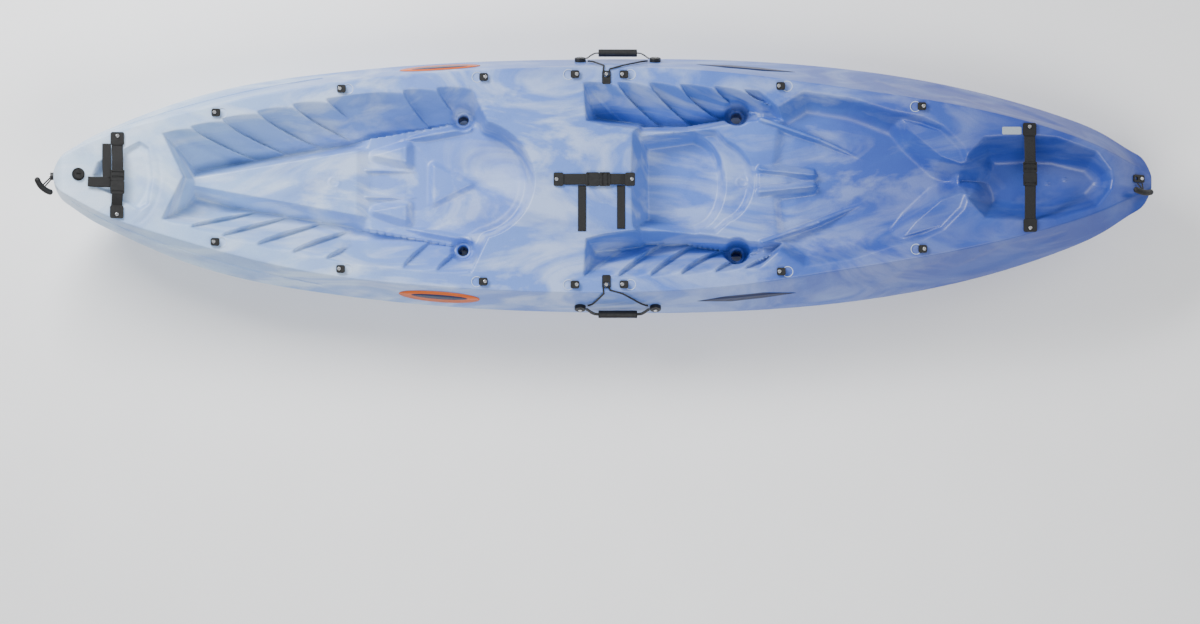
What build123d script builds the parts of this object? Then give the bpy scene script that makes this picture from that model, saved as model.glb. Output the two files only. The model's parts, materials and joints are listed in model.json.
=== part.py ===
"""Tandem sit-on-top kayak, modelled in millimetres.

Frame: +X towards the stern, so the bow is at -X; +Y to starboard; +Z up.
The origin lies under the middle of the boat, level with the flat of the keel it rests on.
"""

import os
from math import atan2, cos, pi, sin

from build123d import *

# ---------------------------------------------------------------- driving dimensions

LENGTH = 3741.0  # bow face to stern face of the moulding
BEAM = 880.0  # widest, across the creases
DEPTH = 461.0  # flat of the keel to the top of the bow
WALL = 4.0  # polyethylene wall of the moulding
RIM = 52.0  # flat gunwale left between the sheer and the cockpits
DRAFT = 0.12  # run of a well's wall for each millimetre of its height

SCUPPER_BORE = 37.0  # self-bailing holes through the hull
DIMPLE_BORE, DIMPLE_DEPTH = 36.0, 2.5  # moulded ring beside each eyelet

WEB_WIDTH, WEB_THICK = 38.0, 2.2  # strap webbing
WEB_HEIGHT = 8.7  # middle of the webbing above the underside of a buckle
BUCKLE_WIDTH, BUCKLE_THICK = 47.0, 12.0
FEMALE_LENGTH, MALE_LENGTH, PRONG_LENGTH = 44.0, 38.0, 22.0

WEB_STOP = 12.0  # how far short of the buckle's joint the fixed webbing ends
BUCKLE_TRAVEL = 28.0  # how far the male half slides back along its webbing
BOW_STRAP_X, STERN_STRAP_X, CENTRE_STRAP_X = -1636, 1465, -20
BOW_STRAP_LIFT, STERN_STRAP_LIFT = 14.0, 6.0  # undersides of the buckles over the deck
PAD_LENGTH, CENTRE_PAD_LENGTH, PAD_HEIGHT = 44.0, 34.0, 8.0
PAD_SLOT, PAD_WEB, PAD_INBOARD = 14.0, 4.0, 26.0
TAIL_LIFT = 0.8  # loose webbing tails over the middle of the deck

EYELET_LENGTH, EYELET_WIDTH, EYELET_HEIGHT, EYE_BORE = 30.0, 26.0, 12.0, 8.0
EYELET_INBOARD, RING_OFFSET = 26.0, 22.0
# x of each pair of eyelets, and which way along the boat its moulded ring lies
EYELETS = [(-1305, 1), (-879, 1), (-394, -1), (-82, -1), (85, 1), (620, 1), (1100, -1)]

HANDLE_X, HANDLE_SHARE = 64, 0.325  # middle of the handles, and their height up the flank
BOSS_BORE, BOSS_HEIGHT = 39.0, 14.0  # end bosses of the side handles
BOSS_PITCH = 257.0
GRIP_LENGTH, GRIP_BORE = 133.0, 26.0
HANDLE_WEB_WIDTH, HANDLE_LIFT, GRIP_LIFT = 20.0, 12.0, 30.0
CORD_BORE = 6.0  # shock cord of the paddle holder
TAB_X = 25
TAB_WIDTH, TAB_LENGTH, TAB_THICK = 30.0, 46.0, 4.0  # tab that hooks over the deck stud
TAB_HINGE, TAB_START, TAB_BEND = 8.0, 14.0, 3.3  # inboard of the sheer, and off the bend
STUD_INBOARD, STUD_HEAD, STUD_HEIGHT = 26.0, 17.0, 9.5

TOGGLE_CORD_BORE, TOGGLE_BORE, TOGGLE_BEND = 5.0, 20.0, 7.0
KNOB_BORE, KNOB_HEIGHT, KNOB_Z = 26.0, 12.0, 402
EYE_PAD_X, EYE_PAD_Y, EYE_PAD_HEIGHT = 1843, 8, 7.0

SCREW_HEAD, SCREW_HEAD_HEIGHT, SCREW_SHANK = 12.0, 3.5, 5.0
INSERT_LENGTH, INSERT_BORE = 12.0, 11.0
PLUG_X, PLUG_BORE, PLUG_HEAD, PLUG_HEIGHT = -1765, 24.0, 33.0, 7.0
BUSH_BORE, BUSH_FLANGE, BUSH_LIP, BUSH_DEPTH = 30.0, 44.0, 3.0, 22.0
LABEL_SIZE = (66.0, 26.0, 1.0)

TOUCH = 0.3  # gap between a fitting and what it sits on
SLOT_PLAY = 0.4  # gap round webbing in its slot, and round a shank in its hole
SLACK = 0.5  # gap at the end of a part that swings

# ---------------------------------------------------------------- lines of the moulding

# The lines are drawn for this length, beam and depth, and scaled to the ones above.
DRAWN = (3741.0, 880.0, 461.0)

# One row for each station along the boat: x, then the half breadth and height of the
# keel, low strake, high strake, crease and sheer.
STATIONS = [
    (-1852, (6, 345), (12, 348), (16, 352), (30, 390), (18, 425)),
    (-1838, (8, 305), (20, 311), (30, 318), (60, 384), (42, 446)),
    (-1805, (10, 254), (30, 268), (50, 285), (94, 374), (70, 461)),
    (-1740, (13, 196), (46, 213), (80, 243), (137, 353), (105, 450)),
    (-1640, (18, 134), (72, 160), (118, 209), (187, 333), (150, 429)),
    (-1480, (36, 76), (128, 118), (178, 172), (256, 299), (200, 404)),
    (-1250, (80, 37), (200, 93), (250, 138), (327, 263), (262, 369)),
    (-950, (130, 13), (265, 67), (315, 107), (379, 227), (325, 340)),
    (-550, (165, 0), (312, 48), (362, 86), (420, 189), (368, 328)),
    (0, (180, 0), (334, 44), (384, 75), (440, 158), (388, 323)),
    (450, (176, 0), (330, 48), (380, 88), (436, 160), (366, 331)),
    (850, (150, 0), (296, 67), (348, 110), (405, 165), (310, 351)),
    (1150, (105, 9), (240, 98), (296, 138), (357, 175), (262, 370)),
    (1400, (62, 28), (176, 130), (236, 163), (295, 191), (208, 375)),
    (1600, (34, 72), (118, 158), (176, 189), (228, 217), (150, 358)),
    (1740, (22, 134), (76, 184), (124, 212), (163, 236), (96, 326)),
    (1830, (16, 185), (46, 208), (78, 229), (106, 245), (52, 287)),
    (1872, (12, 227), (28, 233), (46, 239), (66, 250), (28, 263)),
    (1889, (8, 239), (14, 242), (20, 246), (28, 252), (12, 256)),
]
KEEL, LOW, HIGH, CREASE, SHEER = range(5)
HOLLOW = slice(2, -2)  # the stations that the air space inside reaches
PORT, STARBOARD = -1, 1
SIDES = {"port": PORT, "starboard": STARBOARD}


def along(x):
    return x * LENGTH / DRAWN[0]


def out(y):
    return y * BEAM / DRAWN[1]


def up(z):
    return z * DEPTH / DRAWN[2]


def section(row):
    """Corners of one station's section, port keel round over the deck to starboard keel."""
    half = [(out(y), up(z)) for y, z in row[1:]]
    return [(-y, z) for y, z in half] + [(y, z) for y, z in reversed(half)]


def inset(points, distance):
    """The corners of a polygon moved inwards by a distance, or outwards by a negative one."""
    area = sum(a[0] * b[1] - b[0] * a[1] for a, b in zip(points, points[1:] + points[:1]))
    step = distance if area > 0 else -distance
    moved = []
    for before, here, after in zip(points[-1:] + points[:-1], points, points[1:] + points[:1]):
        first = (Vector(*here) - Vector(*before)).normalized()
        second = (Vector(*after) - Vector(*here)).normalized()
        left = Vector(-first.Y - second.Y, first.X + second.X)
        moved.append(Vector(*here) + left * (step / (1 + first.dot(second))))
    return [(point.X, point.Y) for point in moved]


def skin(stations, sections):
    """A closed solid ruled between curves that run through the corners of the sections."""
    knots = [(x - stations[0]) / (stations[-1] - stations[0]) for x in stations]
    corners = range(len(sections[0]))
    curves = [
        Edge.make_spline(
            [Vector(x, *corner[i]) for x, corner in zip(stations, sections)], parameters=knots
        )
        for i in corners
    ]
    faces = [Face.make_surface_from_curves(a, b) for a, b in zip(curves, curves[1:] + curves[:1])]
    for x, corner in ((stations[0], sections[0]), (stations[-1], sections[-1])):
        faces.append(Face(Wire.make_polygon([Vector(x, *point) for point in corner])))
    return Solid(Shell(faces))


XS = [along(row[0]) for row in STATIONS]
KNOTS = [(x - XS[0]) / (XS[-1] - XS[0]) for x in XS]
LINES = [
    Edge.make_spline(
        [Vector(along(r[0]), out(r[1 + i][0]), up(r[1 + i][1])) for r in STATIONS],
        parameters=KNOTS,
    )
    for i in range(5)
]


def on_line(index, x):
    """The point of a starboard line of the hull at x."""
    return Vector(LINES[index].geom_adaptor().Value((x - XS[0]) / (XS[-1] - XS[0])))


def deck_plane(x, y):
    """A plane on the deck, its x axis running aft along it and its z axis square to it."""
    fore, aft = on_line(SHEER, x - 5), on_line(SHEER, x + 5)
    slope = atan2(aft.Z - fore.Z, aft.X - fore.X)
    return Plane(
        (x, y, on_line(SHEER, x).Z), x_dir=(cos(slope), 0, sin(slope)),
        z_dir=(-sin(slope), 0, cos(slope)),
    )


def flank_plane(x, side, share):
    """A plane on the flank, a share of the way from crease to sheer, its z axis outwards."""

    def place(at):
        low, high = on_line(CREASE, at), on_line(SHEER, at)
        point = low + (high - low) * share
        return Vector(point.X, side * point.Y, point.Z)

    low, high = on_line(CREASE, x), on_line(SHEER, x)
    rise = Vector(0, side * (high.Y - low.Y), high.Z - low.Z)
    run = (place(x + 5) - place(x - 5)).normalized()
    return Plane(place(x), x_dir=run, z_dir=run.cross(rise) * -side)


# ---------------------------------------------------------------- wells and holes

FRONT_TUNNEL_TOP, FRONT_FOOT_FLOOR, FRONT_SEAT_FLOOR = 228, 118, 170
REAR_FOOT_FLOOR, REAR_SEAT_FLOOR, AFT_FLOOR, TANK_FLOOR = 118, 165, 250, 225
BOW_FLOOR, REAR_SHELF = 398, 262


def rim(x):
    """Half breadth of a cockpit's edge at x, the flat gunwale inside the sheer."""
    return on_line(SHEER, along(x)).Y - RIM


def drawn(points):
    """Half of an outline, mirrored and closed, with its sizes scaled to the boat's."""
    half = [(along(x), y) for x, y in points]
    return half + [(x, -y) for x, y in reversed(half) if y > 0]


def well(outline, floor, grow=0.0):
    """What is cut for a well: its outline is at the deck, and its walls slope in."""
    outline = inset(outline, -grow)
    floor = up(floor) - grow
    deck = max(on_line(SHEER, x).Z for x, _ in outline)
    sky = deck + 40
    bottom = inset(outline, DRAFT * (deck - floor))
    top = inset(outline, DRAFT * (deck - sky))
    faces = [
        Face(Wire.make_polygon([Vector(x, y, z) for x, y in points]))
        for points, z in ((bottom, floor), (top, sky))
    ]
    return Solid.make_loft([face.outer_wire() for face in faces], ruled=True)


def arc(middle, radius_x, radius_y, start, end, count):
    """Points of half an oval between two angles in degrees, with its y sizes scaled."""
    turns = [(start + (end - start) * i / (count - 1)) * pi / 180 for i in range(count)]
    return [(middle + radius_x * cos(a), out(radius_y * abs(sin(a)))) for a in turns]


FRONT_COCKPIT = drawn(
    [(-1475, out(152))] + [(x, rim(x)) for x in (-1270, -1000, -700, -455)]
    + arc(-455, 232, 200, 68, 0, 5)
)
FRONT_FEET = [
    [(along(-1390), side * out(40)), (along(-830), side * out(128)),
     (along(-830), side * rim(-850)), (along(-1390), side * rim(-1390))]
    for side in (PORT, STARBOARD)
]
FRONT_SEAT = drawn([(-830, out(290)), (-455, rim(-455))] + arc(-455, 215, 190, 68, 0, 5))
REAR_COCKPIT = drawn(
    [(128, out(186))] + [(128, rim(128))] + [(x, rim(x)) for x in (430, 545)]
    + [(560, out(200)), (640, 0)]
)
REAR_FEET = [
    [(along(-45), side * out(182)), (along(545), side * out(182)),
     (along(500), side * rim(500)), (along(-45), side * rim(-45))]
    for side in (PORT, STARBOARD)
]
REAR_SEAT = drawn([(130, out(170)), (330, out(170))] + arc(330, 190, 170, 70, 0, 5))
AFT_TRAY = drawn(
    [(600, out(215)), (860, rim(860)), (1060, rim(1060)), (1150, out(165)), (1225, out(80))]
)
TANK = drawn(
    [(1180, out(80)), (1245, out(80)), (1310, out(138)), (1520, out(136))]
    + arc(1520, 225, 118, 90, 0, 6)
)
BOW_RECESS = drawn([(-1700, out(42)), (-1560, out(118)), (-1530, out(96)), (-1515, 0)])

DRAIN = deck_plane(along(PLUG_X), 0)
SCUPPERS = [(along(x), side * out(y)) for x, y in ((-466, 226), (472, 238)) for side in (-1, 1)]


def wells(grow=0.0):
    """Every deck well, or with grow the same wells with their walls and floors around them."""
    cuts = [
        well(FRONT_COCKPIT, FRONT_TUNNEL_TOP, grow), well(FRONT_SEAT, FRONT_SEAT_FLOOR, grow),
        well(REAR_COCKPIT, REAR_SHELF, grow), well(REAR_SEAT, REAR_SEAT_FLOOR, grow),
        well(AFT_TRAY, AFT_FLOOR, grow), well(TANK, TANK_FLOOR, grow),
        well(BOW_RECESS, BOW_FLOOR, grow),
    ]
    cuts += [well(outline, FRONT_FOOT_FLOOR, grow) for outline in FRONT_FEET]
    cuts += [well(outline, REAR_FOOT_FLOOR, grow) for outline in REAR_FEET]
    return cuts + [
        post(x, y, SCUPPER_BORE / 2 + grow, -SCUPPER_BORE, up(TANK_FLOOR)) for x, y in SCUPPERS
    ]


def disc(plane, radius, low, high, x=0.0, y=0.0):
    """A cylinder square to a plane, between two heights over it."""
    at = plane.from_local_coords((x, y, low))
    return Solid.make_cylinder(radius, high - low, Plane(at, x_dir=plane.x_dir, z_dir=plane.z_dir))


def block(plane, x, y, z):
    """A box on a plane from three pairs of limits."""
    at = plane.from_local_coords((x[0], y[0], z[0]))
    frame = Plane(at, x_dir=plane.x_dir, z_dir=plane.z_dir)
    return Solid.make_box(x[1] - x[0], y[1] - y[0], z[1] - z[0], frame)


def post(x, y, radius, low, high):
    """An upright cylinder between two heights."""
    return Solid.make_cylinder(radius, high - low, Plane((x, y, low)))


def carve(body, cuts):
    """A body with each cut taken from it in turn."""
    for cut in cuts:
        body = body.cut(cut)
    return body


def moulding():
    """The hollow hull: an outer skin and the skin of the air space, joined at the drain hole."""
    outer = skin(XS, [section(row) for row in STATIONS])
    inner = skin(XS[HOLLOW], [inset(section(row), WALL) for row in STATIONS[HOLLOW]])
    ground = Solid.make_box(2 * LENGTH, 2 * BEAM, DEPTH, Plane((-LENGTH, -BEAM, -DEPTH)))
    outer = carve(outer, [ground] + wells())
    inner = carve(inner, wells(WALL))
    drill = disc(DRAIN, BUSH_BORE / 2 + SLOT_PLAY, -2 * BUSH_DEPTH, 2 * BUSH_DEPTH)

    def outside_drill(face):
        gaps = [
            (corner.center() - DRAIN.origin).cross(DRAIN.z_dir).length
            for corner in face.vertices()
        ]
        return max(gaps) > BUSH_BORE

    faces = [face for body in (outer, inner) for face in body.cut(drill).faces()]
    plug = drill.intersect(outer)[0].cut(inner)
    walls = [face for face in plug.faces() if face.geom_type == GeomType.CYLINDER]
    return Solid(Shell([face for face in faces if outside_drill(face)] + walls)).fix()



# ---------------------------------------------------------------- shapes of the fittings

pilots = []  # holes and dimples that the fittings need in the moulding


def soft_block(plane, x, y, z, radius):
    """A box with its upright edges rounded."""
    body = block(plane, x, y, z)
    upright = [e for e in body.edges() if abs((e % 0).dot(plane.z_dir)) > 0.99]
    return body.fillet(radius, upright)


def band(plane, path, thickness, width):
    """Webbing that follows points in a plane and is as wide, both sides of it, as it says."""
    points = [Vector(*point) for point in path]
    runs = [(b - a).normalized() for a, b in zip(points, points[1:])]
    sides = [Vector(-run.Y, run.X) for run in runs]
    offsets = [sides[0]]
    offsets += [(a + b) / (1 + a.dot(b)) for a, b in zip(sides, sides[1:])]
    offsets.append(sides[-1])
    half = thickness / 2
    outline = [p + o * half for p, o in zip(points, offsets)]
    outline += [p - o * half for p, o in reversed(list(zip(points, offsets)))]
    corners = [plane.from_local_coords((p.X, p.Y, -width / 2)) for p in outline]
    face = Face(Wire.make_polygon(corners))
    return Solid.extrude(face, plane.z_dir * width)


def tube(points, radii, bore):
    """A cord of round section on straight runs joined by arcs."""
    path = FilletPolyline(*points, radius=radii)
    start = Plane(path @ 0, z_dir=path % 0)
    print("cord arcs", radii, "length", round(path.length))
    return sweep(start * Circle(bore / 2), path=path).solid()


def screw(plane, stack, x=0.0, y=0.0):
    """A pan head screw through a fitting of a given thickness, and its hole in the moulding."""
    head = disc(plane, SCREW_HEAD / 2, stack + TOUCH, stack + TOUCH + SCREW_HEAD_HEIGHT, x, y)
    crown = [e for e in head.edges() if e.geom_type == GeomType.CIRCLE][:1]
    head = head.fillet(SCREW_HEAD_HEIGHT / 3, crown)
    pilots.append(disc(plane, SCREW_SHANK / 2 + SLOT_PLAY, -2 * INSERT_LENGTH, stack, x, y))
    shank = disc(plane, SCREW_SHANK / 2, -WALL - INSERT_LENGTH, stack + TOUCH, x, y)
    return head.fuse(shank)


def screw_hole(plane, stack, x=0.0, y=0.0):
    return disc(plane, SCREW_SHANK / 2 + SLOT_PLAY, -1, stack + 1, x, y)


def insert(plane, x=0.0, y=0.0):
    """The threaded bush that a screw bites in, against the inside of the wall."""
    top = -WALL - TOUCH
    bush = disc(plane, INSERT_BORE / 2, top - INSERT_LENGTH, top, x, y)
    hole = disc(plane, SCREW_SHANK / 2 + TOUCH, top - INSERT_LENGTH - 1, top + 1, x, y)
    return bush.cut(hole)


nodes = {}


def add(name, *solids):
    nodes.setdefault(name, []).extend(solids)


# ---------------------------------------------------------------- deck eyelets


def eyelet(plane, way):
    """A lug with a cross hole for a line; its moulded ring lies on the way side of it."""
    lug = soft_block(
        plane, (-EYELET_LENGTH / 2, EYELET_LENGTH / 2), (-EYELET_WIDTH / 2, EYELET_WIDTH / 2),
        (TOUCH, EYELET_HEIGHT), EYELET_WIDTH / 4,
    )
    eye = Plane(
        plane.from_local_coords((way * EYELET_LENGTH / 4, -EYELET_WIDTH, EYELET_HEIGHT / 2)),
        x_dir=plane.x_dir, z_dir=plane.y_dir,
    )
    lug = lug.cut(Solid.make_cylinder(EYE_BORE / 2, 2 * EYELET_WIDTH, eye))
    at = -way * EYELET_LENGTH / 5
    pilots.append(
        disc(plane, DIMPLE_BORE / 2, -DIMPLE_DEPTH, EYELET_HEIGHT, way * RING_OFFSET)
    )
    return lug.cut(screw_hole(plane, EYELET_HEIGHT, at)), screw(plane, EYELET_HEIGHT, at), \
        insert(plane, at)


for x, way in EYELETS:
    for name, side in SIDES.items():
        lug, fixing, bush = eyelet(
            deck_plane(along(x), side * (on_line(SHEER, along(x)).Y - EYELET_INBOARD)), way
        )
        add(f"{name}_deck_eyelets", lug)
        add(f"{name}_eyelet_screws", fixing)
        add("threaded_inserts", bush)

# ---------------------------------------------------------------- straps and buckles


def buckle(plane, base):
    """A side release buckle on a plane, its male half on the +x side of the origin."""
    low, high = base, base + BUCKLE_THICK
    web = base + WEB_HEIGHT
    half = BUCKLE_WIDTH / 2
    gap = WEB_THICK / 2 + SLOT_PLAY
    prongs = (base + 2.0, base + 6.0)
    slot_y = (-WEB_WIDTH / 2 - SLOT_PLAY, WEB_WIDTH / 2 + SLOT_PLAY)
    female = soft_block(plane, (-FEMALE_LENGTH, 0), (-half, half), (low, high), 4)
    reach = PRONG_LENGTH + 2
    female = female.cut(
        block(plane, (-reach, 1), (-half + 4, half - 4), (prongs[0] - 0.5, prongs[1] + 0.5)),
        block(plane, (-reach + 4, -6), (-half - 1, half + 1), (prongs[0] - 0.5, prongs[1] + 0.5)),
        block(plane, (-FEMALE_LENGTH - 1, -WEB_STOP), slot_y, (web - gap, web + gap)),
        block(plane, (-FEMALE_LENGTH + 5, -FEMALE_LENGTH + 11), slot_y, (web, high + 1)),
    )
    male = soft_block(plane, (SLACK, MALE_LENGTH), (-half, half), (low, high), 4)
    male = male.cut(
        block(plane, (0, MALE_LENGTH + 1), slot_y, (web - gap, web + gap)),
        block(plane, (MALE_LENGTH - 11, MALE_LENGTH - 5), slot_y, (web, high + 1)),
        block(plane, (10, 17), slot_y, (web, high + 1)),
    )
    arm = half - 8
    arms = [
        block(plane, (-PRONG_LENGTH, 2), (side * arm - 3.5, side * arm + 3.5), prongs)
        for side in (PORT, 0, STARBOARD)
    ]
    return female, male.fuse(*[soft for soft in arms])


def anchor(plane, x, way, length, webbing):
    """A pad screwed down at x, with a slot for webbing that leaves it on its way side."""
    spot = plane.from_local_coords((x, 0, 0))
    deck = deck_plane(spot.X, spot.Y)
    seat = Plane(deck.origin, x_dir=plane.x_dir, z_dir=deck.z_dir)
    half = WEB_WIDTH / 2 + 4
    pad = soft_block(seat, (-length / 2, length / 2), (-half, half), (TOUCH, PAD_HEIGHT), 6)
    mouth = sorted((way * (length / 2 + 1), way * (length / 2 - PAD_SLOT)))
    gap = WEB_THICK / 2 + 2 * SLOT_PLAY
    slot = block(
        seat, mouth, (-WEB_WIDTH / 2 - SLOT_PLAY, WEB_WIDTH / 2 + SLOT_PLAY),
        (PAD_WEB - gap, PAD_WEB + gap),
    )
    at = -way * length / 5
    add(f"{webbing}_anchors", pad.cut(slot).cut(screw_hole(seat, PAD_HEIGHT, at)))
    add("strap_screws", screw(seat, PAD_HEIGHT, at))
    add("threaded_inserts", insert(seat, at))


def strap(name, plane, pads, pad_length, joint, base):
    """Webbing from pad to pad along the plane's x axis, closed by a buckle at the joint."""
    at_joint = Plane(plane.from_local_coords((joint, 0, 0)), x_dir=plane.x_dir, z_dir=plane.z_dir)
    female, male = buckle(at_joint, base)
    add(f"{name}_buckle_female", female)
    add(f"{name}_buckle_male", male)
    upright = Plane(plane.origin, x_dir=plane.x_dir, z_dir=-plane.y_dir)
    web = base + WEB_HEIGHT
    for pad, way, clear, start in (
        (pads[0], 1, -FEMALE_LENGTH - 3, -WEB_STOP - 1),
        (pads[1], -1, MALE_LENGTH + BUCKLE_TRAVEL + 3, 8),
    ):
        anchor(plane, pad, way, pad_length, name)
        mouth = pad + way * pad_length / 2
        path = [
            (mouth - way * (PAD_SLOT - 1), PAD_WEB), (mouth + way * 1.5, PAD_WEB),
            (joint + clear, web), (joint + start, web),
        ]
        add(f"{name}_webbing", band(upright, path, WEB_THICK, WEB_WIDTH))


def across(x, y=0.0):
    """A plane on the deck with its x axis to starboard."""
    deck = deck_plane(x, y)
    return Plane(deck.origin, x_dir=(0, 1, 0), z_dir=deck.z_dir)


BOW_STRAP = across(along(BOW_STRAP_X))
STERN_STRAP = across(along(STERN_STRAP_X))
CENTRE_STRAP = deck_plane(along(CENTRE_STRAP_X), 0)
bow_pad = on_line(SHEER, BOW_STRAP.origin.X).Y - PAD_INBOARD
stern_pad = on_line(SHEER, STERN_STRAP.origin.X).Y - PAD_INBOARD
strap("bow_strap", BOW_STRAP, (-bow_pad, bow_pad), PAD_LENGTH, -22, BOW_STRAP_LIFT)
strap("stern_strap", STERN_STRAP, (-stern_pad, stern_pad), PAD_LENGTH, 14, STERN_STRAP_LIFT)
strap("centre_strap", CENTRE_STRAP, (-118, 126), CENTRE_PAD_LENGTH, 20, TOUCH)


def flat_tail(plane, outline, low):
    """A loose end of webbing lying flat: an outline on a plane, one webbing thick."""
    face = Face(Wire.make_polygon([plane.from_local_coords((x, y, low)) for x, y in outline]))
    return Solid.extrude(face, plane.z_dir * WEB_THICK)


add(
    "bow_strap_tail",
    flat_tail(
        BOW_STRAP,
        [(14, -8), (14, 21), (108, 21), (108, 52), (0, 52), (-8, 98), (-42, 104), (-52, 21),
         (-26, -8)],
        BOW_STRAP_LIFT - WEB_THICK - TOUCH,
    ),
)
for x, reach in ((-52, 180), (81, 172)):
    add(
        "centre_strap_tails",
        flat_tail(CENTRE_STRAP, [(x, -30), (x + 28, -30), (x + 28, -reach), (x, -reach)], TAIL_LIFT),
    )

# ---------------------------------------------------------------- side handles and paddle holders


def side_fittings(name, side):
    bosses = [
        flank_plane(along(HANDLE_X) + way * BOSS_PITCH / 2, side, HANDLE_SHARE) for way in (-1, 1)
    ]
    for plane in bosses:
        boss = disc(plane, BOSS_BORE / 2, TOUCH, BOSS_HEIGHT)
        boss = boss.fillet(3, [e for e in boss.edges() if e.geom_type == GeomType.CIRCLE][:1])
        add(f"{name}_handle_bosses", boss.cut(screw_hole(plane, BOSS_HEIGHT)))
        add(f"{name}_handle_screws", screw(plane, BOSS_HEIGHT))
        add("threaded_inserts", insert(plane))
    chord = bosses[1].origin - bosses[0].origin
    middle = (bosses[0].origin + bosses[1].origin) / 2
    lean = (bosses[0].z_dir + bosses[1].z_dir).normalized()
    face_out = Plane(middle, x_dir=chord, z_dir=lean)
    upright = Plane(middle, x_dir=chord, z_dir=-face_out.y_dir)
    end = BOSS_PITCH / 2 - BOSS_BORE / 2 - SLACK
    knee = GRIP_LENGTH / 2 + 2
    rise = [(end, HANDLE_LIFT), ((end + knee) / 2, (HANDLE_LIFT + GRIP_LIFT) / 2 + 3),
            (knee, GRIP_LIFT)]
    path = [(-x, z) for x, z in rise] + rise[::-1]
    add(f"{name}_handle_webbing", band(upright, path, WEB_THICK, HANDLE_WEB_WIDTH))
    bar = Plane(
        face_out.from_local_coords((-GRIP_LENGTH / 2, 0, GRIP_LIFT)), x_dir=face_out.y_dir,
        z_dir=face_out.x_dir,
    )
    grip = Solid.make_cylinder(GRIP_BORE / 2, GRIP_LENGTH, bar)
    grip = grip.fillet(3, [e for e in grip.edges() if e.geom_type == GeomType.CIRCLE])
    slot = (HANDLE_WEB_WIDTH / 2 + SLOT_PLAY, WEB_THICK / 2 + SLOT_PLAY)
    grip = grip.cut(
        block(
            face_out, (-GRIP_LENGTH, GRIP_LENGTH), (-slot[0], slot[0]),
            (GRIP_LIFT - slot[1], GRIP_LIFT + slot[1]),
        )
    )
    add(f"{name}_handle_grip", grip)
    pivot = face_out.from_local_coords((0, 0, HANDLE_LIFT))
    print(f"{name} handle pivot", pivot, "along", face_out.x_dir)

    at = along(TAB_X)
    edge = on_line(SHEER, at)
    cord = CORD_BORE / 2
    ride = edge.Z + cord + SLACK
    hinge = edge.Y - TAB_HINGE
    for way, corner in ((-1, -8), (1, 55)):
        start = face_out.from_local_coords((way * (end - 5.5), -side * 17, cord + 2.5))
        leave = face_out.from_local_coords((way * (end - 20), -side * 20, cord + 2.5))
        over = Vector(at + corner, side * (edge.Y + cord + 1.5), ride)
        stop = Vector(at + way * TAB_WIDTH * 0.35, side * hinge, ride)
        add(f"{name}_bungee_cord", tube([start, leave, over, stop], [14, 5], CORD_BORE))
        loop = Plane(
            (at + way * TAB_WIDTH * 0.35, side * (hinge - TAB_BEND), ride), z_dir=(0, -side, 0)
        )
        length = TAB_START - TAB_HINGE - TAB_BEND
        add(f"{name}_bungee_loop", Solid.make_cylinder(cord, length, loop))
    deck = deck_plane(at, side * (edge.Y - STUD_INBOARD))
    tab = soft_block(
        Plane((at, side * edge.Y, edge.Z)), (-TAB_WIDTH / 2, TAB_WIDTH / 2),
        sorted((-side * TAB_START, -side * (TAB_START + TAB_LENGTH))),
        (2 * TOUCH, 2 * TOUCH + TAB_THICK), 6,
    )
    add(f"{name}_bungee_tab", tab.cut(disc(deck, STUD_HEAD / 2 + 1.5, -1, 20)))
    stud = disc(deck, STUD_HEAD / 2 - 2, TOUCH, STUD_HEIGHT)
    stud = stud.fuse(disc(deck, STUD_HEAD / 2, STUD_HEIGHT - 3, STUD_HEIGHT))
    add("deck_studs", stud.cut(screw_hole(deck, STUD_HEIGHT)))
    add("deck_stud_screws", screw(deck, STUD_HEIGHT))
    add("threaded_inserts", insert(deck))
    print(f"{name} tab pivot", (at, side * hinge, ride))


for name, side in SIDES.items():
    side_fittings(name, side)

# ---------------------------------------------------------------- toggles


def toggle(name, low, high, eyes):
    """A bent carry grip that hangs on two cords from two eyes."""
    low, high, eyes = Vector(*low), Vector(*high), [Vector(*eye) for eye in eyes]
    run = (high - low).normalized()
    away = (low + high) / 2 - (eyes[0] + eyes[1]) / 2
    away = (away - run * away.dot(run)).normalized()
    path = ThreePointArc(low, (low + high) / 2 + away * TOGGLE_BEND, high)
    grip = sweep(Plane(low, z_dir=path % 0) * Circle(TOGGLE_BORE / 2), path=path).solid()
    for end in (low, high):
        grip = grip.fuse(Solid.make_sphere(TOGGLE_BORE / 2 - SLACK / 10, Plane(end), -90, 90, 360))
    seat = (low + high) / 2 + away * TOGGLE_BEND
    for eye, way in zip(eyes, (-1, 1)):
        end = seat + run * (way * TOGGLE_CORD_BORE)
        line = Plane(eye, z_dir=end - eye)
        length = (end - eye).length
        hole = disc(line, TOGGLE_CORD_BORE / 2 + SLOT_PLAY, length / 2, length + SLOT_PLAY)
        grip = grip.cut(hole)
        add(f"{name}_toggle_cord", disc(line, TOGGLE_CORD_BORE / 2, 0, length))
    add(f"{name}_toggle_grip", grip)


KNOB = Plane((XS[0], 0, up(KNOB_Z)), x_dir=(0, 1, 0), z_dir=(-1, 0, 0))
add("bow_toggle_knob", disc(KNOB, KNOB_BORE / 2, TOUCH, KNOB_HEIGHT).cut(screw_hole(KNOB, KNOB_HEIGHT)))
add("bow_toggle_screw", screw(KNOB, KNOB_HEIGHT))
hang = up(KNOB_Z) - KNOB_BORE / 2
toggle(
    "bow", (XS[0] - 56, -12, hang + 9), (XS[0] - 16, -48, hang - 31),
    [(XS[0] - 7, y, hang - 3) for y in (4, -4)],
)
print("bow toggle pivot", (XS[0] - 7, 0, hang - 3))

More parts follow.
